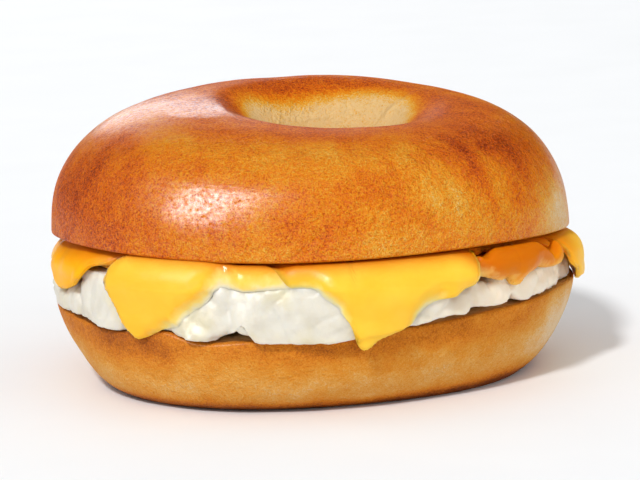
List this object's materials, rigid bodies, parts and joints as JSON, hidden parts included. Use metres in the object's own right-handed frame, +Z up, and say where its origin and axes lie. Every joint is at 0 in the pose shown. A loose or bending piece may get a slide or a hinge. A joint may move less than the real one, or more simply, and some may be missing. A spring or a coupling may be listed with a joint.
{
  "type": "filled bagel sandwich",
  "caption": "Bagel cut in half and filled with a thick egg white patty and melted cheese slices.",
  "frame": {"origin": "on the surface it stands on, under the middle of its bounding box", "axes": "+Z up, -Y towards the side the picture shows, +X to the picture's right"},
  "size_m": [0.1121, 0.1114, 0.0585],
  "materials": {
    "crust": "glossy browned bagel crust, with pale soft crumb on the cut faces",
    "egg_white": "moist cooked egg white",
    "cheese": "smooth melted cheese"
  },
  "bodies": {
    "root": {"heel": "crust", "egg_white": "egg_white", "cheese_under": "cheese", "cheese_over": "cheese", "crown": "crust"}
  },
  "joints": []
}
